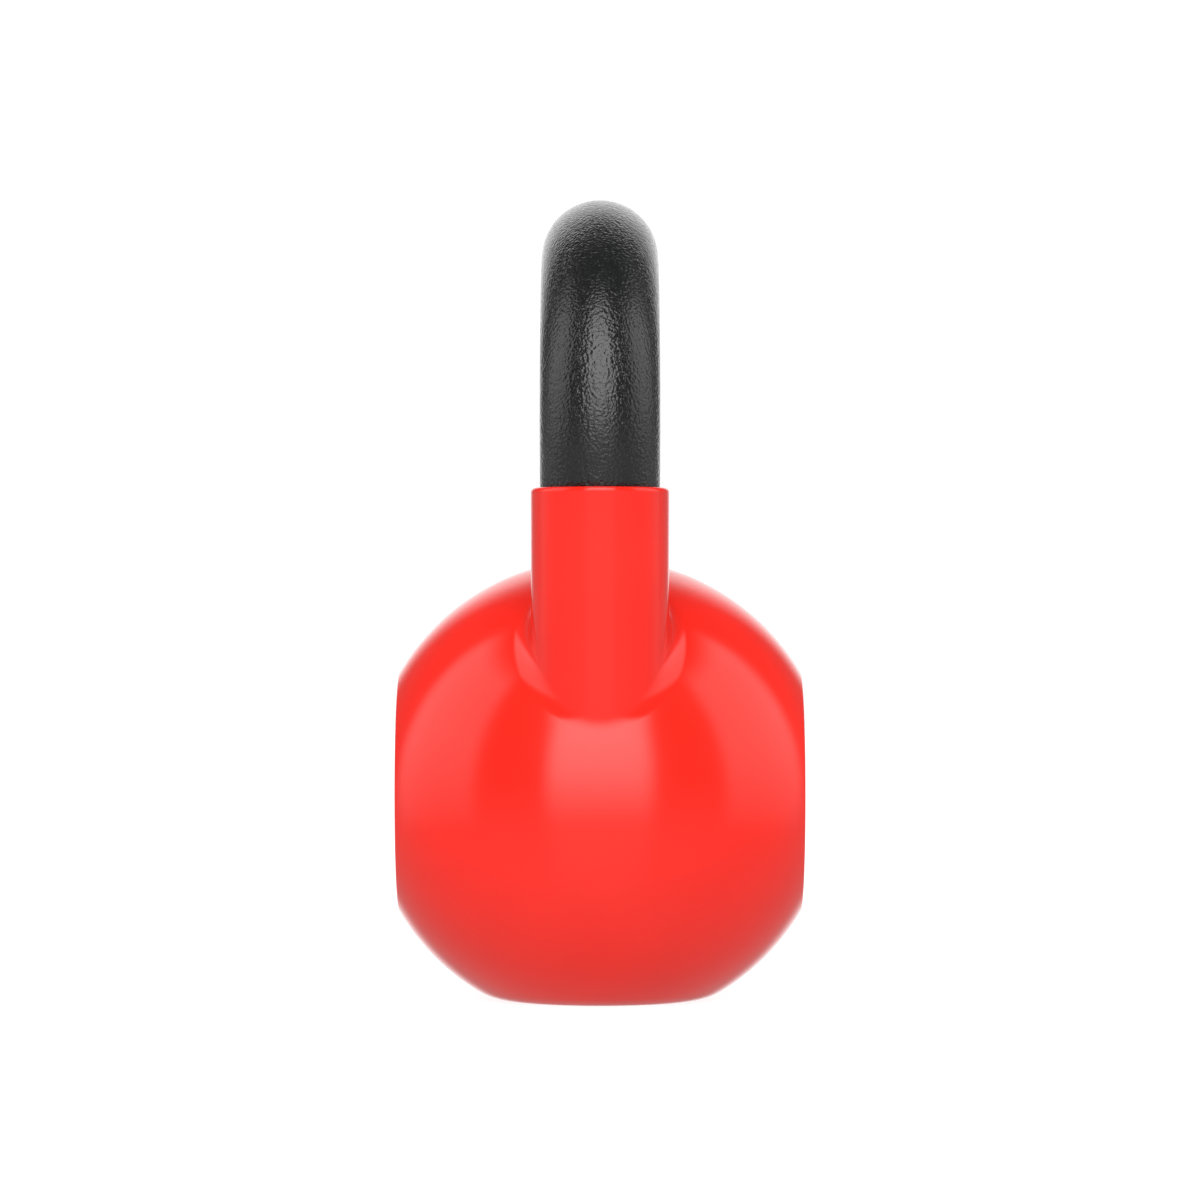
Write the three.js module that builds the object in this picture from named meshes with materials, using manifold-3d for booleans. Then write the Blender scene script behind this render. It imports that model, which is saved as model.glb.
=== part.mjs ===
// A vinyl-dipped kettlebell of 8 kg nominal weight, in millimetres, +Z up.
// The origin is the centre of the flat base. The handle loop lies in the XZ plane, and the
// ball's two flattened faces look along +Y and -Y.
//
// Pieces: a cast-iron ball with two blind sockets, a steel bar bent to a loop whose ends sit
// in those sockets, a fillet weld around each leg, and one dipped vinyl jacket over them all
// up to the dip line on the legs.

import * as THREE from 'three';
import { mergeVertices } from 'three/addons/utils/BufferGeometryUtils.js';
import Module from 'manifold-3d';

const wasm = await Module();
wasm.setup();

// ---- driving dimensions ----

// Ball, measured over the vinyl.
const ballRadius = 62;
const faceHalfSpan = 53.5; // ball centre to each flattened face
const faceEdgeRadius = 2.4;
const baseDrop = 55.2; // ball centre to the base
const baseEdgeRadius = 16;

// Handle, a round bar of constant section.
const barRadius = 15.4;
const crownAxisHeight = 196.9; // bar axis at the top of the loop, above the base
const crownRadius = 72; // bar axis, along the top of the loop
const cornerRadius = 31; // bar axis, at the two corners
const handleHalfSpan = 60.5; // bar axis, at the widest
const legLean = THREE.MathUtils.degToRad(15); // from the vertical, feet inward
const legLength = 73.5; // straight part of each leg, down to the bar's end

// Vinyl jacket.
const vinylThickness = 2.05;
const dipLineHeight = 134.8; // the level top edge of the vinyl on the legs
const lipRadius = 1.3;
const rootFilletRadius = 7.7; // where a leg's sleeve runs out onto the ball

// Clearance between neighbouring pieces.
const gap = 0.3;

// Facets.
const outerBallSegments = 60;
const innerBallSegments = 44;
const outerArcSteps = 18;
const innerArcSteps = 14;
const edgeSteps = 2;
const rootSegments = 36;
const filletSteps = 5;
const lipSteps = 3;
const barSides = 24;
const barSteps = 62;

// ---- derived sizes ----

const ironDepth = vinylThickness + gap; // depth of the iron's surface under the vinyl's
const neckRadius = barRadius + gap + vinylThickness;
const crownCentreHeight = crownAxisHeight - crownRadius;
const crownAngle = Math.asin((handleHalfSpan - cornerRadius) / (crownRadius - cornerRadius));
const cornerCentre = {
  x: handleHalfSpan - cornerRadius,
  z: crownCentreHeight + (crownRadius - cornerRadius) * Math.cos(crownAngle),
};
const legTopAngle = Math.PI / 2 + legLean; // how far the bar has turned when the leg starts
const legTop = {
  x: cornerCentre.x + cornerRadius * Math.sin(legTopAngle),
  z: cornerCentre.z + cornerRadius * Math.cos(legTopAngle),
};

// ---- materials ----

const vinyl = new THREE.MeshStandardMaterial({ color: 0xe32119, roughness: 0.22, metalness: 0 });
const powderCoat = new THREE.MeshStandardMaterial({ color: 0x242424, roughness: 0.45, metalness: 0.3 });
const castIron = new THREE.MeshStandardMaterial({ color: 0x4b4b4d, roughness: 0.7, metalness: 0.7 });
const weldSteel = new THREE.MeshStandardMaterial({ color: 0x86837f, roughness: 0.45, metalness: 0.9 });

// ---- solids and geometries ----

function toSolid(geometry) {
  geometry.deleteAttribute('normal');
  geometry.deleteAttribute('uv');
  const merged = mergeVertices(geometry);
  return new wasm.Manifold(
    new wasm.Mesh({
      numProp: 3,
      vertProperties: new Float32Array(merged.attributes.position.array),
      triVerts: new Uint32Array(merged.index.array),
    }),
  );
}

function toGeometry(solid) {
  const mesh = solid.getMesh();
  const geometry = new THREE.BufferGeometry();
  geometry.setAttribute('position', new THREE.BufferAttribute(mesh.vertProperties, 3));
  geometry.setIndex(new THREE.BufferAttribute(mesh.triVerts, 1));
  geometry.computeVertexNormals();
  return geometry;
}

function movePoints(geometry, move) {
  const positions = geometry.attributes.position;
  const point = new THREE.Vector3();
  for (let i = 0; i < positions.count; i += 1) {
    point.fromBufferAttribute(positions, i);
    const moved = move(point);
    positions.setXYZ(i, moved.x, moved.y, moved.z);
  }
  return geometry;
}

// ---- ball ----

// A flat cut across a sphere, its edge rounded: where the rounding starts and ends.
function roundedCut(sphereRadius, flatDistance, edgeRadius) {
  const centreHeight = flatDistance - edgeRadius;
  const centreDistance = sphereRadius - edgeRadius;
  const flatRadius = Math.sqrt(centreDistance ** 2 - centreHeight ** 2);
  return {
    centreHeight,
    centreDistance,
    flatRadius,
    flatAngle: Math.atan2(flatRadius, flatDistance),
    sphereAngle: Math.acos(centreHeight / centreDistance),
  };
}

// Half outline of the ball from face to face, as radius about the face axis and distance along it.
function ballOutline(depth, arcSteps) {
  const radius = ballRadius - depth;
  const edgeRadius = faceEdgeRadius - depth;
  const cut = roundedCut(radius, faceHalfSpan - depth, edgeRadius);
  const half = [new THREE.Vector2(0, faceHalfSpan - depth)];
  for (let i = 0; i <= edgeSteps; i += 1) {
    const turn = (cut.sphereAngle * i) / edgeSteps;
    half.push(
      new THREE.Vector2(
        cut.flatRadius + edgeRadius * Math.sin(turn),
        cut.centreHeight + edgeRadius * Math.cos(turn),
      ),
    );
  }
  const outline = [...half];
  const arc = Math.PI - 2 * cut.sphereAngle;
  for (let i = 1; i < arcSteps; i += 1) {
    const angle = cut.sphereAngle + (arc * i) / arcSteps;
    outline.push(new THREE.Vector2(radius * Math.sin(angle), radius * Math.cos(angle)));
  }
  for (const point of half.reverse()) {
    outline.push(new THREE.Vector2(point.x, -point.y));
  }
  return outline;
}

// Distance from the ball's centre to its surface, towards a direction that makes this angle
// with straight down: the flat base, then its rounded edge, then the sphere.
function reachNearBase(depth, angle) {
  const edgeRadius = baseEdgeRadius - depth;
  const cut = roundedCut(ballRadius - depth, baseDrop - depth, edgeRadius);
  if (angle <= cut.flatAngle) {
    return (baseDrop - depth) / Math.cos(angle);
  }
  if (angle >= cut.sphereAngle) {
    return ballRadius - depth;
  }
  const along = cut.flatRadius * Math.sin(angle) + cut.centreHeight * Math.cos(angle);
  return along + Math.sqrt(along ** 2 - cut.centreDistance ** 2 + edgeRadius ** 2);
}

// The ball's surface at a depth under the vinyl's surface, turned about its face axis.
function ballSolid(depth, segments, arcSteps) {
  const lathe = new THREE.LatheGeometry(ballOutline(depth, arcSteps).reverse(), segments);
  movePoints(lathe, (point) => {
    const angle = Math.acos(THREE.MathUtils.clamp(-point.z / point.length(), -1, 1));
    const scale = Math.min(1, reachNearBase(depth, angle) / point.length());
    return point.multiplyScalar(scale);
  });
  lathe.translate(0, 0, baseDrop);
  return toSolid(lathe);
}

const outerBall = () => ballSolid(0, outerBallSegments, outerArcSteps);
const innerBall = (depth) => ballSolid(depth, innerBallSegments, innerArcSteps);

// ---- handle ----

// The bar's axis as a curve through both legs, both corners and the crown.
class HandleAxis extends THREE.Curve {
  constructor() {
    super();
    this.cornerLength = cornerRadius * (legTopAngle - crownAngle);
    this.crownLength = crownRadius * crownAngle;
    this.halfLength = this.crownLength + this.cornerLength + legLength;
  }

  getPoint(t, target = new THREE.Vector3()) {
    const signed = (2 * t - 1) * this.halfLength;
    const side = Math.sign(signed);
    const distance = Math.abs(signed);
    if (distance <= this.crownLength) {
      const angle = distance / crownRadius;
      const z = crownCentreHeight + crownRadius * Math.cos(angle);
      return target.set(side * crownRadius * Math.sin(angle), 0, z);
    }
    if (distance <= this.crownLength + this.cornerLength) {
      const angle = crownAngle + (distance - this.crownLength) / cornerRadius;
      const x = cornerCentre.x + cornerRadius * Math.sin(angle);
      return target.set(side * x, 0, cornerCentre.z + cornerRadius * Math.cos(angle));
    }
    const down = distance - this.crownLength - this.cornerLength;
    const x = legTop.x - down * Math.sin(legLean);
    return target.set(side * x, 0, legTop.z - down * Math.cos(legLean));
  }
}

function handleGeometry() {
  const section = new THREE.Shape().absarc(0, 0, barRadius, 0, 2 * Math.PI);
  const bar = new THREE.ExtrudeGeometry(section, {
    steps: barSteps,
    curveSegments: barSides / 2,
    bevelEnabled: false,
    extrudePath: new HandleAxis(),
  });
  return toGeometry(toSolid(bar));
}

// A straight bore that clears one leg of the bar, from above the dip line to past the bar's end.
function legBore(side) {
  const radius = (barRadius + gap) / Math.cos(Math.PI / rootSegments);
  const length = legLength + gap;
  const bore = new THREE.CylinderGeometry(radius, radius, length, rootSegments);
  bore.rotateX(Math.PI / 2);
  bore.translate(0, 0, -length / 2);
  bore.rotateY(side * legLean);
  bore.translate(side * legTop.x, 0, legTop.z);
  return toSolid(bore);
}

// ---- leg roots: the sleeve on a leg and the fillet that runs out onto the ball ----

// How a sleeve ends: points of its top edge, by how far each is set in and how high it is.
const roundedLip = Array.from({ length: lipSteps + 1 }, (_, i) => {
  const angle = (Math.PI / 2) * (i / lipSteps);
  return {
    inset: lipRadius * (1 - Math.sin(angle)),
    height: dipLineHeight - lipRadius * (1 - Math.cos(angle)),
  };
});
const pastDipLine = [{ inset: 0, height: dipLineHeight + 2 * lipRadius }];
const noSleeve = [];

// One line down a leg's root surface, at an angle around the leg. The fillet is the path of a
// ball that rolls around the root, touching both the leg's sleeve and the kettlebell's ball.
function rootLine(side, around, depth, sleeveTop) {
  const radius = neckRadius - depth;
  const fillet = rootFilletRadius + depth;
  const sphere = ballRadius - depth;
  const centre = new THREE.Vector3(0, 0, baseDrop);
  const up = new THREE.Vector3(side * Math.sin(legLean), 0, Math.cos(legLean));
  const out = new THREE.Vector3(side * Math.cos(legLean), 0, -Math.sin(legLean));
  const across = new THREE.Vector3(0, Math.sin(around), 0);
  const away = out.multiplyScalar(Math.cos(around)).add(across);
  const axisPoint = new THREE.Vector3(side * legTop.x, 0, legTop.z).sub(centre);

  const start = axisPoint.clone().addScaledVector(away, radius + fillet);
  const half = start.dot(up);
  const climb = -half + Math.sqrt(half ** 2 - start.lengthSq() + (sphere + fillet) ** 2);
  const roll = start.addScaledVector(up, climb);
  const towardsLeg = away.clone().negate();
  const towardsBall = roll.clone().normalize().negate();
  const turn = towardsLeg.angleTo(towardsBall);

  const line = sleeveTop.map(({ inset, height }) => {
    const point = axisPoint.clone().addScaledVector(away, radius - inset);
    return point.addScaledVector(up, (height - baseDrop - point.z) / up.z);
  });
  for (let i = 0; i <= filletSteps; i += 1) {
    const angle = (turn * i) / filletSteps;
    const direction = towardsLeg
      .clone()
      .multiplyScalar(Math.sin(turn - angle))
      .addScaledVector(towardsBall, Math.sin(angle))
      .divideScalar(Math.sin(turn));
    line.push(roll.clone().addScaledVector(direction, fillet));
  }
  const lastPoint = line[line.length - 1];
  line.push(lastPoint.clone().multiplyScalar(1 - rootFilletRadius / sphere));
  return line.map((point) => point.add(centre));
}

// A leg's root as a closed solid: a drum whose rows are laid on the root lines.
function rootSolid(side, depth, sleeveTop) {
  const lines = Array.from({ length: rootSegments }, (_, i) =>
    rootLine(side, (side * 2 * Math.PI * i) / rootSegments, depth, sleeveTop),
  );
  const levels = lines[0].length - 1;
  const middle = (level) =>
    lines
      .reduce((sum, line) => sum.add(line[level]), new THREE.Vector3())
      .divideScalar(rootSegments);
  const drum = new THREE.CylinderGeometry(1, 1, levels, rootSegments, levels);
  movePoints(drum, (point) => {
    const level = Math.round(levels / 2 - point.y);
    const onAxis = Math.hypot(point.x, point.z) < 0.5;
    if (onAxis) {
      return middle(level);
    }
    const turn = Math.atan2(-point.z, point.x) / (2 * Math.PI);
    const index = (Math.round(turn * rootSegments) + rootSegments) % rootSegments;
    return lines[index][level];
  });
  return toSolid(drum);
}

// ---- pieces ----

function ballCoreGeometry() {
  return toGeometry(innerBall(ironDepth).subtract(legBore(-1)).subtract(legBore(1)));
}

function weldBeadGeometry(side) {
  const bead = rootSolid(side, ironDepth, noSleeve).subtract(legBore(side));
  return toGeometry(bead.subtract(innerBall(vinylThickness)));
}

function vinylJacketGeometry() {
  let outside = outerBall();
  let inside = innerBall(vinylThickness);
  for (const side of [-1, 1]) {
    outside = outside.add(rootSolid(side, 0, roundedLip));
    inside = inside.add(rootSolid(side, vinylThickness, pastDipLine));
  }
  return toGeometry(outside.subtract(inside));
}

function piece(name, geometry, material) {
  const mesh = new THREE.Mesh(geometry, material);
  mesh.name = name;
  return mesh;
}

const kettlebell = new THREE.Group();
kettlebell.add(piece('ball_core', ballCoreGeometry(), castIron));
kettlebell.add(piece('handle_bar', handleGeometry(), powderCoat));
kettlebell.add(piece('weld_bead_left', weldBeadGeometry(-1), weldSteel));
kettlebell.add(piece('weld_bead_right', weldBeadGeometry(1), weldSteel));
kettlebell.add(piece('vinyl_jacket', vinylJacketGeometry(), vinyl));

export default kettlebell;
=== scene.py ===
"""A vinyl-dipped kettlebell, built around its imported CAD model: the smooth vinyl jacket, the
powder-coated bar, the materials of the hidden iron and welds, a pale floor and soft studio light.
Everything is in metres in the CAD frame: +Z up, the handle loop in the XZ plane."""

import math

import bmesh
import bpy
import numpy as np
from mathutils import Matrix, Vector, noise


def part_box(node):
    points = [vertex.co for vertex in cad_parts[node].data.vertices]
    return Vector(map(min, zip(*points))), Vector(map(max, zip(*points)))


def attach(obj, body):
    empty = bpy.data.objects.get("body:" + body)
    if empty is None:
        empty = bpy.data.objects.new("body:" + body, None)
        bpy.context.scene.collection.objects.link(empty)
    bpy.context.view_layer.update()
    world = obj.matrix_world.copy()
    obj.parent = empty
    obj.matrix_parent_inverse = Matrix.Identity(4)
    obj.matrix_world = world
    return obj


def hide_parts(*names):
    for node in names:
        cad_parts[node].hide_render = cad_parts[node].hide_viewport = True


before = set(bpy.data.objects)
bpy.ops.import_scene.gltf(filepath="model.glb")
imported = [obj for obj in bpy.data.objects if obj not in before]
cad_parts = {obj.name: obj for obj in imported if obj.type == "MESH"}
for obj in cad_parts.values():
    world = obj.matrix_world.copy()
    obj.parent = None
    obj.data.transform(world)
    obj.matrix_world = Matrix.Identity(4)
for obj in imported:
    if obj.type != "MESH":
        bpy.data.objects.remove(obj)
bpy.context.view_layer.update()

# ---- sizes from the frame ----

jacket_low, jacket_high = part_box("vinyl_jacket")
core_low, core_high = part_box("ball_core")
bar_low, bar_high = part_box("handle_bar")

IRON_DEPTH = jacket_high.y - core_high.y  # the iron's surface lies this far under the vinyl's
BALL_RADIUS = core_high.x + IRON_DEPTH
FACE_SPAN = jacket_high.y
CENTRE_HEIGHT = core_high.z - core_high.x
DIP_LINE = jacket_high.z
BAR_RADIUS = bar_high.y
CROWN_AXIS_HEIGHT = bar_high.z - BAR_RADIUS
OVERALL_HEIGHT = bar_high.z

# ---- sizes that the frame's boxes don't give ----

MM = 0.001
FACE_EDGE_RADIUS = 2.4 * MM
BASE_EDGE_RADIUS = 16 * MM
CROWN_RADIUS = 72 * MM
CORNER_RADIUS = 31 * MM
HANDLE_HALF_SPAN = 60.5 * MM
LEG_LEAN = math.radians(15)
LEG_LENGTH = 73.5 * MM
CAD_GAP = 0.3 * MM
VINYL_THICKNESS = IRON_DEPTH - CAD_GAP
ROOT_FILLET_RADIUS = 7.7 * MM
LIP_RADIUS = 1.3 * MM
INNER_LIP_RADIUS = 0.35 * MM
SNUG_GAP = 0.05 * MM  # vinyl to bar, just under the lip
BAR_END_RADIUS = 1 * MM

# ---- how finely the surfaces are drawn ----

BALL_STEP = 1.1 * MM
INNER_BALL_STEP = 3 * MM
ROOT_MARGIN = 0.6  # how far the ball's grid stays off a root's ring, in steps of the grid
ROOT_SIDES = 176
FILLET_STEPS = 14
INNER_FILLET_STEPS = 8
SLEEVE_STEPS = 24
INNER_SLEEVE_SHARES = (0.35, 0.7)
LIP_STEPS = 8
INNER_LIP_STEPS = 3
BAR_STEP = 0.5 * MM
HIDDEN_BAR_STEP = 3 * MM
BAR_END_STEPS = 4

UP = np.array([0.0, 0.0, 1.0])
FACE_AXIS = np.array([0.0, 1.0, 0.0])
CENTRE = np.array([0.0, 0.0, CENTRE_HEIGHT])


def unit(vectors):
    return vectors / np.linalg.norm(vectors, axis=-1, keepdims=True)


# ---- building meshes ----


class Surface:
    """Points with their exact normals, and the faces between them."""

    def __init__(self):
        self.points = []
        self.normals = []
        self.faces = []

    def add_points(self, points, normals):
        first = len(self.points)
        self.points.extend(points.reshape(-1, 3))
        self.normals.extend(normals.reshape(-1, 3))
        return np.arange(first, len(self.points)).reshape(points.shape[:-1])

    def add_rows(self, rows):
        """Quads between neighbouring rows of indices, each row a closed ring."""
        for upper, lower in zip(rows[:-1], rows[1:]):
            for i in range(len(upper)):
                k = (i + 1) % len(upper)
                self.faces.append((upper[i], lower[i], lower[k], upper[k]))

    def add_fan(self, tip, ring):
        for i in range(len(ring)):
            self.faces.append((tip, ring[i], ring[(i + 1) % len(ring)]))

    def add_zip(self, one, other):
        """Triangles between two rings that run the same way round, each next edge the shorter."""
        spots = np.array(self.points)
        start = np.argmin(np.linalg.norm(spots[other] - spots[one[0]], axis=1))
        other = np.roll(other, -start)
        i = j = 0
        while i < len(one) or j < len(other):
            a, b = one[i % len(one)], other[j % len(other)]
            next_a, next_b = one[(i + 1) % len(one)], other[(j + 1) % len(other)]
            along_one = np.linalg.norm(spots[next_a] - spots[b])
            along_other = np.linalg.norm(spots[a] - spots[next_b])
            if j >= len(other) or (i < len(one) and along_one < along_other):
                self.faces.append((a, next_a, b))
                i += 1
            else:
                self.faces.append((a, next_b, b))
                j += 1

    def to_object(self, name, exact_normals=True):
        mesh = bpy.data.meshes.new(name)
        points = [tuple(point) for point in self.points]
        mesh.from_pydata(points, [], [tuple(map(int, face)) for face in self.faces])
        face_outward(mesh)
        mesh.shade_smooth()
        if exact_normals:
            normals = [tuple(normal) for normal in unit(np.array(self.normals))]
            mesh.normals_split_custom_set_from_vertices(normals)
        made = bpy.data.objects.new(name, mesh)
        bpy.context.scene.collection.objects.link(made)
        return made


def face_outward(mesh):
    """Turns this closed mesh's faces outward. It works on the one mesh, never on a selection."""
    draft = bmesh.new()
    draft.from_mesh(mesh)
    bmesh.ops.recalc_face_normals(draft, faces=draft.faces)
    draft.to_mesh(mesh)
    draft.free()


# ---- the ball's surface ----


def cut_surface(directions, axis, radius, flat_distance, edge_radius):
    """How far a sphere with one flat cut and a rounded edge reaches, and its normals there."""
    centre_height = flat_distance - edge_radius
    centre_distance = radius - edge_radius
    flat_radius = math.sqrt(centre_distance**2 - centre_height**2)
    cosine = np.clip(directions @ axis, -1, 1)
    angle = np.arccos(cosine)[:, None]
    sideways = directions - cosine[:, None] * axis
    sideways = sideways / np.maximum(np.linalg.norm(sideways, axis=1, keepdims=True), 1e-12)
    edge_centre = flat_radius * sideways + centre_height * axis
    along = np.sum(directions * edge_centre, axis=1, keepdims=True)
    root = np.sqrt(np.maximum(along**2 - centre_distance**2 + edge_radius**2, 0))
    on_flat = angle <= math.atan2(flat_radius, flat_distance)
    on_sphere = angle >= math.acos(centre_height / centre_distance)
    flat_reach = flat_distance / np.maximum(cosine[:, None], 1e-6)
    reach = np.where(on_flat, flat_reach, np.where(on_sphere, radius, along + root))
    edge_normal = (reach * directions - edge_centre) / edge_radius
    normals = np.where(on_flat, axis, np.where(on_sphere, directions, edge_normal))
    return reach[:, 0], normals


def ball_surface(directions, depth):
    """Points and normals of the ball's surface, at a depth under the vinyl's."""
    cuts = (
        (FACE_AXIS, FACE_SPAN, FACE_EDGE_RADIUS),
        (-FACE_AXIS, FACE_SPAN, FACE_EDGE_RADIUS),
        (-UP, CENTRE_HEIGHT, BASE_EDGE_RADIUS),
    )
    reach = np.full(len(directions), np.inf)
    normals = np.zeros_like(directions)
    for axis, distance, edge in cuts:
        found = cut_surface(directions, axis, BALL_RADIUS - depth, distance - depth, edge - depth)
        nearer = found[0] < reach - 1e-9
        reach = np.where(nearer, found[0], reach)
        normals = np.where(nearer[:, None], found[1], normals)
    return CENTRE + reach[:, None] * directions, normals


def ring_angles(depth, step):
    """Angles from the face axis at which the ball's rings lie, from face centre to face centre."""
    radius = BALL_RADIUS - depth
    edge_radius = FACE_EDGE_RADIUS - depth
    centre_height = FACE_SPAN - FACE_EDGE_RADIUS
    centre_distance = BALL_RADIUS - FACE_EDGE_RADIUS
    flat_radius = math.sqrt(centre_distance**2 - centre_height**2)
    flat_rings = max(3, round(flat_radius / step))
    edge_rings = max(2, round(6 * edge_radius / step))
    flat = np.arctan(np.linspace(0, flat_radius, flat_rings + 1)[1:] / (FACE_SPAN - depth))
    sphere_start = math.acos(centre_height / centre_distance)
    edge = np.linspace(flat[-1], sphere_start, edge_rings + 1)[1:]
    half = np.concatenate([flat, edge])
    around = max(8, round(radius * (math.pi - 2 * sphere_start) / step))
    sphere = np.linspace(sphere_start, math.pi - sphere_start, around + 1)[1:-1]
    return np.concatenate([half, sphere, math.pi - half[::-1]])


def boundary_rings(faces):
    """The open edges of a set of quads, joined into closed rings of indices."""
    edges = {}
    for face in faces:
        for a, b in zip(face, face[1:] + face[:1]):
            if (b, a) in edges:
                del edges[(b, a)]
            else:
                edges[(a, b)] = True
    follow = dict(edges.keys())
    rings = []
    while follow:
        start = next(iter(follow))
        ring = [start]
        spot = follow.pop(start)
        while spot != start:
            ring.append(spot)
            spot = follow.pop(spot)
        rings.append(np.array(ring))
    return rings


def add_ball(surface, depth, step, root_rings):
    """The ball's skin, left open inside each root ring and zipped to it."""
    angles = ring_angles(depth, step)
    columns = 4 * round(2 * math.pi * (BALL_RADIUS - depth) / step / 4)
    turns = np.linspace(0, 2 * math.pi, columns, endpoint=False)
    sines, cosines = np.sin(angles)[:, None], np.cos(angles)[:, None]
    cosines = np.broadcast_to(cosines, (len(angles), columns))
    grid = np.stack([sines * np.cos(turns), cosines, sines * np.sin(turns)], axis=-1)
    points, normals = ball_surface(grid.reshape(-1, 3), depth)
    keep = np.ones(len(points), bool)
    for ring in root_rings:
        keep &= ~inside_ring(points, np.array(surface.points)[ring], ROOT_MARGIN * step)
    rows = surface.add_points(points.reshape(grid.shape), normals.reshape(grid.shape))
    keep = keep.reshape(rows.shape)
    quads = []
    for i in range(len(rows) - 1):
        for j in range(columns):
            k = (j + 1) % columns
            if keep[i, j] and keep[i + 1, j] and keep[i, k] and keep[i + 1, k]:
                quads.append((rows[i, j], rows[i + 1, j], rows[i + 1, k], rows[i, k]))
    surface.faces.extend(quads)
    for row, side in ((rows[0], 1), (rows[-1], -1)):
        tip, tip_normal = ball_surface(np.array([side * FACE_AXIS]), depth)
        surface.add_fan(surface.add_points(tip, tip_normal)[0], row)
    spots = np.array(surface.points)
    for edge in boundary_rings(quads):
        middle = spots[edge].mean(0)
        if abs(middle[1]) > 0.5 * FACE_SPAN:
            continue  # this edge is closed by the fan at a face's centre
        root = min(root_rings, key=lambda ring: np.linalg.norm(spots[ring].mean(0) - middle))
        if turning(spots[edge]) != turning(spots[root]):
            edge = edge[::-1]
        surface.add_zip(root, edge)


def turning(loop):
    """Which way a ring on the ball runs, seen from outside."""
    middle = loop.mean(0)
    swept = np.cross(loop - middle, np.roll(loop, -1, axis=0) - middle).sum(0)
    return np.sign(swept @ (middle - CENTRE))


def inside_ring(points, ring, margin):
    """Which points of the ball lie inside a ring on it, or within a margin of it."""
    towards = unit(ring.mean(0) - CENTRE)
    east = unit(np.cross(FACE_AXIS, towards))
    north = np.cross(towards, east)

    def flat(spots):
        return (spots - CENTRE) @ east, (spots - CENTRE) @ north, (spots - CENTRE) @ towards

    ring_x, ring_y, _ = flat(ring)
    turns = np.arctan2(ring_y, ring_x)
    order = np.argsort(turns)
    x, y, outward = flat(points)
    reach = np.hypot(ring_x, ring_y)
    limit = np.interp(np.arctan2(y, x), turns[order], reach[order], period=2 * math.pi)
    return (outward > 0) & (np.hypot(x, y) < limit + margin)


# ---- the bar's axis ----

CROWN_CENTRE_HEIGHT = CROWN_AXIS_HEIGHT - CROWN_RADIUS
CROWN_ANGLE = math.asin((HANDLE_HALF_SPAN - CORNER_RADIUS) / (CROWN_RADIUS - CORNER_RADIUS))
CORNER_X = HANDLE_HALF_SPAN - CORNER_RADIUS
CORNER_Z = CROWN_CENTRE_HEIGHT + (CROWN_RADIUS - CORNER_RADIUS) * math.cos(CROWN_ANGLE)
LEG_TOP_ANGLE = math.pi / 2 + LEG_LEAN
LEG_TOP_X = CORNER_X + CORNER_RADIUS * math.sin(LEG_TOP_ANGLE)
LEG_TOP_Z = CORNER_Z + CORNER_RADIUS * math.cos(LEG_TOP_ANGLE)
CROWN_LENGTH = CROWN_RADIUS * CROWN_ANGLE
CORNER_LENGTH = CORNER_RADIUS * (LEG_TOP_ANGLE - CROWN_ANGLE)
HALF_LENGTH = CROWN_LENGTH + CORNER_LENGTH + LEG_LENGTH


def bar_axis(distance):
    """Where the bar's axis is, and which way is out of the loop, this far from the crown's top."""
    side = -1 if distance < 0 else 1
    distance = abs(distance)
    if distance <= CROWN_LENGTH:
        angle = distance / CROWN_RADIUS
        x = CROWN_RADIUS * math.sin(angle)
        z = CROWN_CENTRE_HEIGHT + CROWN_RADIUS * math.cos(angle)
    elif distance <= CROWN_LENGTH + CORNER_LENGTH:
        angle = CROWN_ANGLE + (distance - CROWN_LENGTH) / CORNER_RADIUS
        x = CORNER_X + CORNER_RADIUS * math.sin(angle)
        z = CORNER_Z + CORNER_RADIUS * math.cos(angle)
    else:
        down = distance - CROWN_LENGTH - CORNER_LENGTH
        angle = LEG_TOP_ANGLE
        x = LEG_TOP_X - down * math.sin(LEG_LEAN)
        z = LEG_TOP_Z - down * math.cos(LEG_LEAN)
    point = np.array([side * x, 0.0, z])
    return point, np.array([side * math.sin(angle), 0.0, math.cos(angle)])


# ---- the vinyl jacket ----


def root_rings(side, depth, fillet_steps):
    """The rolling fillet between a leg's sleeve and the ball, as rings from the sleeve down."""
    radius = BAR_RADIUS + IRON_DEPTH - depth
    fillet = ROOT_FILLET_RADIUS + depth
    sphere = BALL_RADIUS - depth
    up = np.array([side * math.sin(LEG_LEAN), 0.0, math.cos(LEG_LEAN)])
    out = np.array([side * math.cos(LEG_LEAN), 0.0, -math.sin(LEG_LEAN)])
    turns = np.linspace(0, 2 * math.pi, ROOT_SIDES, endpoint=False)[:, None]
    away = np.cos(turns) * out + np.sin(turns) * FACE_AXIS
    axis_point = np.array([side * LEG_TOP_X, 0.0, LEG_TOP_Z]) - CENTRE
    start = axis_point + (radius + fillet) * away
    half = start @ up
    climb = -half + np.sqrt(half**2 - np.sum(start**2, axis=1) + (sphere + fillet) ** 2)
    roll = start + climb[:, None] * up
    towards_ball = -unit(roll)
    turn = np.arccos(np.sum(-away * towards_ball, axis=1))[:, None]
    points, normals = [], []
    for share in np.linspace(0, 1, fillet_steps + 1):
        leg_part = np.sin(turn * (1 - share)) * -away
        ball_part = np.sin(turn * share) * towards_ball
        direction = (leg_part + ball_part) / np.sin(turn)
        points.append(CENTRE + roll + fillet * direction)
        normals.append(-direction)
    return np.array(points), np.array(normals), axis_point + CENTRE, away, up


def sleeve_ring(axis_point, away, up, radius, height):
    """A level ring round a leg: points at this radius from its axis and at one height."""
    points = axis_point + radius * away
    return points + ((height - points[:, 2]) / up[2])[:, None] * up


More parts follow.
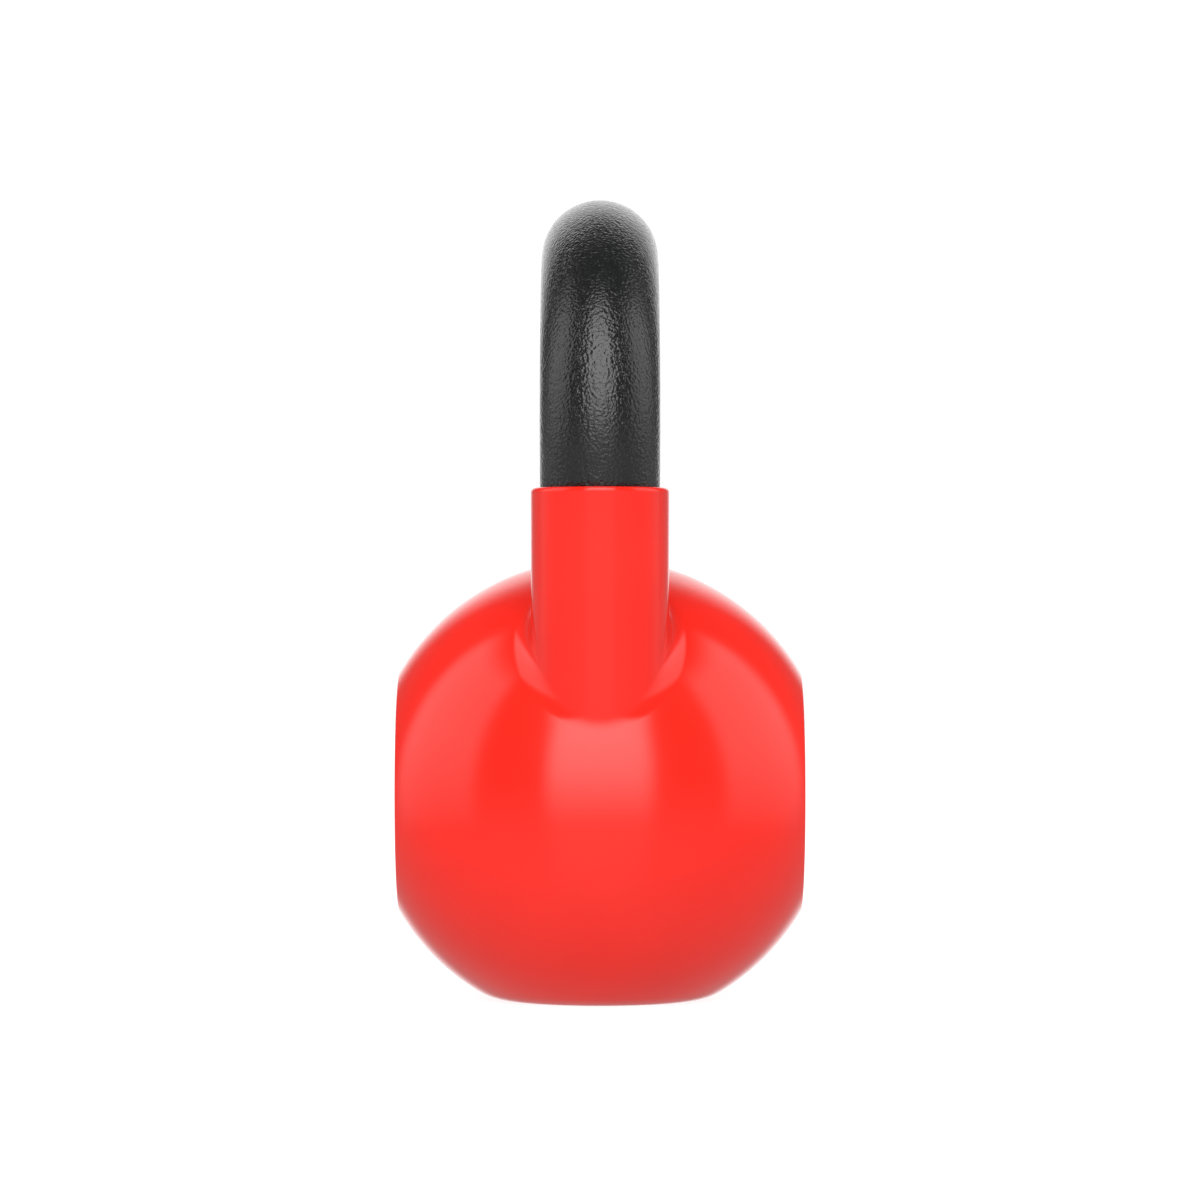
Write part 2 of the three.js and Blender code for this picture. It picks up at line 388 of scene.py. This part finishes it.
def sleeve_rings(outer, inner):
    """The sleeve from its fillet up, over the rounded lip and down inside to the inner fillet."""
    points, normals, axis_point, away, up = outer
    radius = BAR_RADIUS + IRON_DEPTH
    snug = BAR_RADIUS + SNUG_GAP
    rings, ring_normals = [], []

    def keep(ring, normal):
        rings.append(ring)
        ring_normals.append(np.broadcast_to(normal, ring.shape))

    lip_start = sleeve_ring(axis_point, away, up, radius, DIP_LINE - LIP_RADIUS)
    for share in np.linspace(0, 1, SLEEVE_STEPS + 1)[1:]:
        keep(points[0] + share * (lip_start - points[0]), away)
    for angle in np.linspace(0, math.pi / 2, LIP_STEPS + 1)[1:]:
        inset = LIP_RADIUS * (1 - math.cos(angle))
        height = DIP_LINE - LIP_RADIUS * (1 - math.sin(angle))
        normal = unit(math.cos(angle) * away + math.sin(angle) * UP)
        keep(sleeve_ring(axis_point, away, up, radius - inset, height), normal)
    for angle in np.linspace(0, math.pi / 2, INNER_LIP_STEPS + 1):
        inset = INNER_LIP_RADIUS * (1 - math.sin(angle))
        height = DIP_LINE - INNER_LIP_RADIUS * (1 - math.cos(angle))
        normal = unit(-math.sin(angle) * away + math.cos(angle) * UP)
        keep(sleeve_ring(axis_point, away, up, snug + inset, height), normal)
    wide = BAR_RADIUS + CAD_GAP
    inner_top = sleeve_ring(axis_point, away, up, wide, DIP_LINE - 3 * LIP_RADIUS)
    inner_points = inner[0]
    keep(inner_top, -away)
    for share in INNER_SLEEVE_SHARES:
        keep(inner_top + share * (inner_points[0] - inner_top), -away)
    return rings[::-1], ring_normals[::-1]


def make_jacket():
    """One closed skin: both sleeves and their fillets, and the ball, outside and inside."""
    surface = Surface()
    outer_edges, inner_edges = [], []
    for side in (-1, 1):
        outer = root_rings(side, 0, FILLET_STEPS)
        inner = root_rings(side, VINYL_THICKNESS, INNER_FILLET_STEPS)
        sleeve, sleeve_normals = sleeve_rings(outer, inner)
        rings = np.concatenate([inner[0][::-1], sleeve, outer[0]])
        normals = np.concatenate([-inner[1][::-1], sleeve_normals, outer[1]])
        rows = surface.add_points(rings, normals)
        surface.add_rows(rows)
        inner_edges.append(rows[0])
        outer_edges.append(rows[-1])
    add_ball(surface, 0, BALL_STEP, outer_edges)
    first_inner = len(surface.points)
    add_ball(surface, VINYL_THICKNESS, INNER_BALL_STEP, inner_edges)
    for i in range(first_inner, len(surface.points)):
        surface.normals[i] = -surface.normals[i]
    return without_strays(surface).to_object("vinyl_jacket_skin")


def without_strays(surface):
    """The same surface without the points that no face uses."""
    used = sorted({int(i) for face in surface.faces for i in face})
    place = {old: new for new, old in enumerate(used)}
    cleaned = Surface()
    cleaned.points = [surface.points[i] for i in used]
    cleaned.normals = [surface.normals[i] for i in used]
    cleaned.faces = [tuple(place[int(i)] for i in face) for face in surface.faces]
    return cleaned


# ---- the powder-coated bar ----

PEEL_SIZE = 1.9 * MM
PEEL_DEPTH = 0.016 * MM


def coat_radius(points):
    """The bar's radius at each point, uneven as powder coat flows."""
    heights = [noise.noise(Vector(point) / PEEL_SIZE) for point in points]
    return BAR_RADIUS + PEEL_DEPTH * (np.array(heights) - 0.5)


def end_facing(end):
    """The middle of one of the bar's ends, and which way that end faces."""
    point, _ = bar_axis(end * HALF_LENGTH)
    return point, unit(point - bar_axis(end * (HALF_LENGTH - BAR_END_RADIUS))[0])


def bar_end(end, turns):
    """The rounded edge of one of the bar's ends, as rings from its face inward."""
    point, facing = end_facing(end)
    _, out = bar_axis(end * HALF_LENGTH)
    away = np.cos(turns) * out + np.sin(turns) * FACE_AXIS
    rings, normals = [], []
    for angle in np.linspace(0, math.pi / 2, BAR_END_STEPS + 1)[:-1]:
        inset = BAR_END_RADIUS * (1 - math.sin(angle))
        back = BAR_END_RADIUS * (1 - math.cos(angle))
        rings.append(point - back * facing + (BAR_RADIUS - inset) * away)
        normals.append(unit(math.sin(angle) * away + math.cos(angle) * facing))
    return rings, normals


def make_bar():
    """The bent bar, its coat's broad unevenness in the mesh, its ends slightly rounded."""
    surface = Surface()
    bare_leg = (LEG_TOP_Z - DIP_LINE) / math.cos(LEG_LEAN)
    shown = CROWN_LENGTH + CORNER_LENGTH + bare_leg + BAR_RADIUS / 2
    end_start = HALF_LENGTH - BAR_END_RADIUS
    fine = np.linspace(0, shown, round(shown / BAR_STEP))
    coarse = np.linspace(shown, end_start, round((HALF_LENGTH - shown) / HIDDEN_BAR_STEP))
    half = np.concatenate([fine, coarse[1:]])
    sides = round(2 * math.pi * BAR_RADIUS / BAR_STEP)
    turns = np.linspace(0, 2 * math.pi, sides, endpoint=False)[:, None]
    rings, normals = bar_end(-1, turns)
    for distance in np.concatenate([-half[:0:-1], half]):
        spot, outward = bar_axis(distance)
        away = np.cos(turns) * outward + np.sin(turns) * FACE_AXIS
        rings.append(spot + coat_radius(spot + BAR_RADIUS * away)[:, None] * away)
        normals.append(away)
    last_rings, last_normals = bar_end(1, turns)
    rings.extend(last_rings[::-1])
    normals.extend(last_normals[::-1])
    rows = surface.add_points(np.array(rings), np.array(normals))
    surface.add_rows(rows)
    for end, row in ((-1, rows[0]), (1, rows[-1])):
        point, facing = end_facing(end)
        surface.add_fan(surface.add_points(point[None], facing[None])[0], row)
    return surface.to_object("handle_bar_coated", exact_normals=False)


# ---- materials ----


class Nodes:
    """A material's node tree, with short calls for making and joining nodes."""

    def __init__(self, name):
        self.material = bpy.data.materials.new(name)
        self.material.use_nodes = True
        self.tree = self.material.node_tree
        self.shader = self.tree.nodes["Principled BSDF"]
        self.place = self.add("ShaderNodeTexCoord").outputs["Object"]

    def add(self, kind, **settings):
        node = self.tree.nodes.new(kind)
        for name, value in settings.items():
            setattr(node, name, value)
        return node

    def link(self, source, target):
        self.tree.links.new(source, target)

    def noise(self, size, detail=2.0, roughness=0.5):
        node = self.add("ShaderNodeTexNoise")
        node.inputs["Scale"].default_value = 1 / size
        node.inputs["Detail"].default_value = detail
        node.inputs["Roughness"].default_value = roughness
        self.link(self.place, node.inputs["Vector"])
        return node.outputs["Fac"]

    def cells(self, size, smoothness):
        node = self.add("ShaderNodeTexVoronoi", feature="SMOOTH_F1")
        node.inputs["Scale"].default_value = 1 / size
        node.inputs["Smoothness"].default_value = smoothness
        self.link(self.place, node.inputs["Vector"])
        return node.outputs["Distance"]

    def between(self, source, low, high, low_in=0.3, high_in=0.7):
        node = self.add("ShaderNodeMapRange")
        node.inputs["From Min"].default_value = low_in
        node.inputs["From Max"].default_value = high_in
        node.inputs["To Min"].default_value = low
        node.inputs["To Max"].default_value = high
        self.link(source, node.inputs["Value"])
        return node.outputs["Result"]

    def colours(self, source, low, high, low_in=0.35, high_in=0.65):
        node = self.add("ShaderNodeValToRGB")
        node.color_ramp.elements[0].position = low_in
        node.color_ramp.elements[1].position = high_in
        node.color_ramp.elements[0].color = (*low, 1)
        node.color_ramp.elements[1].color = (*high, 1)
        self.link(source, node.inputs["Fac"])
        return node.outputs["Color"]

    def bump(self, height, distance, under=None):
        node = self.add("ShaderNodeBump")
        node.inputs["Strength"].default_value = 1.0
        node.inputs["Distance"].default_value = distance
        self.link(height, node.inputs["Height"])
        if under is not None:
            self.link(under, node.inputs["Normal"])
        return node.outputs["Normal"]

    def set(self, name, value):
        self.shader.inputs[name].default_value = value

    def drive(self, name, source):
        self.link(source, self.shader.inputs[name])


def vinyl_material():
    """Glossy plastisol: an even deep red, slightly wavy from the dip, faintly hazed in places."""
    nodes = Nodes("vinyl_red")
    tone = nodes.noise(45 * MM, detail=3)
    nodes.drive("Base Color", nodes.colours(tone, (0.78, 0.0165, 0.009), (0.84, 0.0195, 0.011)))
    haze = nodes.noise(14 * MM, detail=4, roughness=0.6)
    nodes.drive("Roughness", nodes.between(haze, 0.13, 0.17))
    dip_waves = nodes.bump(nodes.noise(9 * MM, detail=1), 0.012 * MM)
    grain = nodes.bump(nodes.noise(0.5 * MM, detail=1), 0.0006 * MM, under=dip_waves)
    nodes.drive("Normal", grain)
    nodes.set("IOR", 1.40)
    return nodes.material


def powder_coat_material():
    """Black powder coat with a fine orange-peel skin."""
    nodes = Nodes("black_powder_coat")
    tone = nodes.noise(20 * MM, detail=3)
    coat = nodes.colours(tone, (0.0072, 0.0072, 0.0074), (0.0096, 0.0096, 0.0098))
    nodes.drive("Base Color", coat)
    nodes.drive("Roughness", nodes.between(nodes.noise(6 * MM, detail=3), 0.11, 0.15))
    peel = nodes.bump(nodes.noise(0.75 * MM, detail=1.5, roughness=0.5), 0.215 * MM)
    pits = nodes.bump(nodes.cells(0.9 * MM, smoothness=0.3), 0.11 * MM, under=peel)
    nodes.drive("Normal", pits)
    nodes.set("IOR", 1.465)
    return nodes.material


def cast_iron_material():
    """Raw grey iron as cast: dark, grainy from the sand, a little rusty in patches."""
    nodes = Nodes("cast_iron_raw")
    patches = nodes.noise(18 * MM, detail=5, roughness=0.6)
    nodes.drive("Base Color", nodes.colours(patches, (0.060, 0.060, 0.064), (0.085, 0.074, 0.066)))
    nodes.drive("Roughness", nodes.between(nodes.noise(4 * MM, detail=4), 0.6, 0.8))
    nodes.drive("Normal", nodes.bump(nodes.noise(0.9 * MM, detail=4, roughness=0.65), 0.12 * MM))
    nodes.set("Metallic", 0.7)
    return nodes.material


def weld_material():
    """Bare weld metal: ripples across the bead, with a straw and blue heat tint."""
    nodes = Nodes("weld_metal")
    tint = nodes.noise(7 * MM, detail=3)
    nodes.drive("Base Color", nodes.colours(tint, (0.16, 0.17, 0.21), (0.33, 0.28, 0.21)))
    nodes.drive("Roughness", nodes.between(nodes.noise(2 * MM, detail=3), 0.34, 0.5))
    ripples = nodes.add("ShaderNodeTexWave", wave_type="BANDS", bands_direction="Y")
    ripples.inputs["Scale"].default_value = 160
    ripples.inputs["Distortion"].default_value = 3
    ripples.inputs["Detail"].default_value = 2
    nodes.link(nodes.place, ripples.inputs["Vector"])
    nodes.drive("Normal", nodes.bump(ripples.outputs["Fac"], 0.15 * MM))
    nodes.set("Metallic", 0.9)
    return nodes.material


def dress(piece, material):
    piece.data.materials.clear()
    piece.data.materials.append(material)


# ---- the studio ----

PANEL_DISTANCE = 3.4  # the light panels stand this far from the object's middle
PANEL_STEPS = 61
PANEL_FADE = 8  # degrees over which a panel's side edge comes up to full level
SIDE_PANEL_SPAN = (60, 120)  # azimuths of a side panel's front and back edges, in degrees
CAMERA_DISTANCE = 1.384
FRAME_WIDTH = 0.3193  # what the camera's frame spans at the object's middle
FLOOR_RADIUS = 3.0
FLOOR_SIDES = 96
STUDIO_LEVEL = 1.43  # scales every light and the surroundings
# the surroundings' levels, each after the sine of its elevation
LOW_SURROUNDINGS = ((-0.99, 0.43), (-0.74, 0.39), (-0.41, 0.33), (-0.2, 0.31), (-0.05, 0.24))
HIGH_SURROUNDINGS = ((0.1, 0.16), (0.5, 0.08), (0.9, 0.07))
BACKGROUND_WHITE = 1.05
VIEW_CENTRE = Vector((0, 0, OVERALL_HEIGHT / 2))


def glow_material(name):
    """A panel that adds its own light and lets the surroundings' light through."""
    material = bpy.data.materials.new(name)
    material.use_nodes = True
    tree = material.node_tree
    tree.nodes.clear()
    level = tree.nodes.new("ShaderNodeAttribute")
    level.attribute_name = "glow"
    glow = tree.nodes.new("ShaderNodeEmission")
    clear = tree.nodes.new("ShaderNodeBsdfTransparent")
    both = tree.nodes.new("ShaderNodeAddShader")
    output = tree.nodes.new("ShaderNodeOutputMaterial")
    tree.links.new(level.outputs["Fac"], glow.inputs["Strength"])
    tree.links.new(glow.outputs["Emission"], both.inputs[0])
    tree.links.new(clear.outputs["BSDF"], both.inputs[1])
    tree.links.new(both.outputs["Shader"], output.inputs["Surface"])
    return material


def along(value, pairs):
    """A level read off a list of (place, level) pairs."""
    places, levels = zip(*pairs)
    return float(np.interp(value, places, levels))


def softbox(name, azimuths, elevations, brightness):
    """A curved light panel round the object. Azimuth 0 is +X, and all angles are in degrees.
    brightness gives the level at an azimuth and an elevation."""
    columns = np.linspace(azimuths[0], azimuths[1], PANEL_STEPS)
    rows = np.linspace(elevations[0], elevations[1], PANEL_STEPS)
    points, glow, faces = [], [], []
    for elevation in rows:
        for azimuth in columns:
            a, e = math.radians(azimuth), math.radians(elevation)
            reach = Vector((math.cos(e) * math.cos(a), math.cos(e) * math.sin(a), math.sin(e)))
            points.append(VIEW_CENTRE + PANEL_DISTANCE * reach)
            glow.append(STUDIO_LEVEL * brightness(abs(azimuth), elevation))
    for i in range(PANEL_STEPS - 1):
        for j in range(PANEL_STEPS - 1):
            corner = i * PANEL_STEPS + j
            faces.append((corner, corner + 1, corner + PANEL_STEPS + 1, corner + PANEL_STEPS))
    mesh = bpy.data.meshes.new(name)
    mesh.from_pydata(points, [], faces)
    attribute = mesh.attributes.new("glow", "FLOAT", "POINT")
    attribute.data.foreach_set("value", np.array(glow, np.float32))
    mesh.materials.append(glow_material(name + "_glow"))
    panel = bpy.data.objects.new(name, mesh)
    bpy.context.scene.collection.objects.link(panel)
    panel.visible_camera = False


def make_floor():
    """A round pale floor that only the camera sees, so that it leaves the object's light alone."""
    turns = np.linspace(0, 2 * math.pi, FLOOR_SIDES, endpoint=False)
    rim = [(FLOOR_RADIUS * math.cos(turn), FLOOR_RADIUS * math.sin(turn), 0.0) for turn in turns]
    mesh = bpy.data.meshes.new("floor")
    mesh.from_pydata(rim, [], [tuple(range(FLOOR_SIDES))])
    floor = bpy.data.objects.new("floor", mesh)
    bpy.context.scene.collection.objects.link(floor)
    material = bpy.data.materials.new("pale_floor")
    material.use_nodes = True
    shader = material.node_tree.nodes["Principled BSDF"]
    shader.inputs["Base Color"].default_value = (0.35, 0.35, 0.35, 1)
    shader.inputs["Roughness"].default_value = 1.0
    shader.inputs["Specular IOR Level"].default_value = 0.0
    shader.inputs["Emission Color"].default_value = (1, 1, 1, 1)
    shader.inputs["Emission Strength"].default_value = 0.9
    floor.data.materials.append(material)
    floor.visible_glossy = False
    floor.visible_diffuse = False
    floor.visible_shadow = False


def make_world():
    """Pale surroundings, brighter from below, which the camera sees as plain white."""
    world = bpy.data.worlds.new("studio")
    bpy.context.scene.world = world
    world.use_nodes = True
    tree = world.node_tree
    tree.nodes.clear()
    output = tree.nodes.new("ShaderNodeOutputWorld")
    surroundings = tree.nodes.new("ShaderNodeBackground")
    direction = tree.nodes.new("ShaderNodeTexCoord")
    split = tree.nodes.new("ShaderNodeSeparateXYZ")
    height = tree.nodes.new("ShaderNodeMapRange")
    height.inputs["From Min"].default_value = -1
    fade = tree.nodes.new("ShaderNodeValToRGB")
    for place, level in LOW_SURROUNDINGS + HIGH_SURROUNDINGS:
        stop = fade.color_ramp.elements.new((place + 1) / 2)
        stop.color = (level, level, level, 1)
    fade.color_ramp.elements.remove(fade.color_ramp.elements[0])
    fade.color_ramp.elements.remove(fade.color_ramp.elements[-1])
    tree.links.new(direction.outputs["Generated"], split.inputs["Vector"])
    tree.links.new(split.outputs["Z"], height.inputs["Value"])
    tree.links.new(height.outputs["Result"], fade.inputs["Fac"])
    tree.links.new(fade.outputs["Color"], surroundings.inputs["Color"])
    surroundings.inputs["Strength"].default_value = STUDIO_LEVEL
    white = tree.nodes.new("ShaderNodeBackground")
    white.inputs["Color"].default_value = (1, 1, 1, 1)
    white.inputs["Strength"].default_value = BACKGROUND_WHITE
    rays = tree.nodes.new("ShaderNodeLightPath")
    mix = tree.nodes.new("ShaderNodeMixShader")
    tree.links.new(rays.outputs["Is Camera Ray"], mix.inputs["Fac"])
    tree.links.new(surroundings.outputs["Background"], mix.inputs[1])
    tree.links.new(white.outputs["Background"], mix.inputs[2])
    tree.links.new(mix.outputs["Shader"], output.inputs["Surface"])


def front_panel(azimuth, elevation):
    """The large softbox over the camera, wider overhead, with a faint glow of it from below."""
    below = ((-62, 0.0), (-50, 0.08), (-38, 0.14), (-24, 0.2), (-14, 0.3))
    ahead = ((-6, 0.95), (2, 1.75), (12, 2.65), (26, 3.3))
    overhead = ((52, 3.3), (62, 2.9), (71, 1.9), (80, 1.1))
    half_width = along(elevation, ((30, 29.5), (48, 33), (60, 37), (72, 44)))
    edge = along(half_width - azimuth, ((0, 0), (PANEL_FADE, 1)))
    return along(elevation, below + ahead + overhead) * edge


def side_panel(azimuth, elevation):
    """A strip softbox at the side. Its lower edge rises towards the back."""
    front, back = SIDE_PANEL_SPAN
    height = elevation - along(azimuth, ((front, -1.5), (back, 3)))
    levels = ((-15, 0.0), (-8, 0.36), (0, 0.66), (8, 0.92), (20, 1.12), (46, 1.2), (55, 0))
    edge = along(min(azimuth - front, back - azimuth), ((0, 0), (PANEL_FADE, 1)))
    return along(height, levels) * edge


def back_panel(azimuth, elevation):
    """A low softbox behind the object, which lights its rims."""
    levels = ((-25, 0), (-15, 0.55), (2, 0.85), (12, 0.8), (30, 0.9), (40, 0.4), (52, 0))
    return along(elevation, levels) * along(azimuth, ((150, 0), (166, 1)))


def floor_glow(azimuth, elevation):
    """Light off the floor, brighter on the camera's side."""
    levels = ((-85, 0), (-70, 0.08), (-55, 0.15), (-25, 0.17), (-8, 0.05), (0, 0))
    return along(elevation, levels) * along(azimuth, ((40, 1), (130, 0)))


def make_lights():
    front, back = SIDE_PANEL_SPAN
    softbox("softbox_front", (-46, 46), (-62, 84), front_panel)
    softbox("softbox_left", (-back, -front), (-18, 60), side_panel)
    softbox("softbox_right", (front, back), (-18, 60), side_panel)
    softbox("softbox_back", (150, 210), (-25, 54), lambda a, e: back_panel(min(a, 360 - a), e))
    softbox("floor_bounce", (-130, 130), (-85, 0), floor_glow)


def make_camera():
    """Looks along the handle loop's plane, level with the object's middle."""
    data = bpy.data.cameras.new("camera")
    data.sensor_fit = "HORIZONTAL"
    data.angle = 2 * math.atan(FRAME_WIDTH / 2 / CAMERA_DISTANCE)
    camera = bpy.data.objects.new("camera", data)
    camera.location = VIEW_CENTRE + Vector((CAMERA_DISTANCE, 0, 0))
    camera.rotation_euler = (math.pi / 2, 0, math.pi / 2)
    bpy.context.scene.collection.objects.link(camera)
    bpy.context.scene.camera = camera


# ---- the whole scene ----

make_camera()

jacket = make_jacket()
dress(jacket, vinyl_material())
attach(jacket, "root")
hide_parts("vinyl_jacket")

bar = make_bar()
dress(bar, powder_coat_material())
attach(bar, "root")
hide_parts("handle_bar")

dress(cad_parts["ball_core"], cast_iron_material())
weld = weld_material()
dress(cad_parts["weld_bead_left"], weld)
dress(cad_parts["weld_bead_right"], weld)

make_floor()
make_world()
make_lights()
bpy.context.scene.view_settings.view_transform = "Standard"
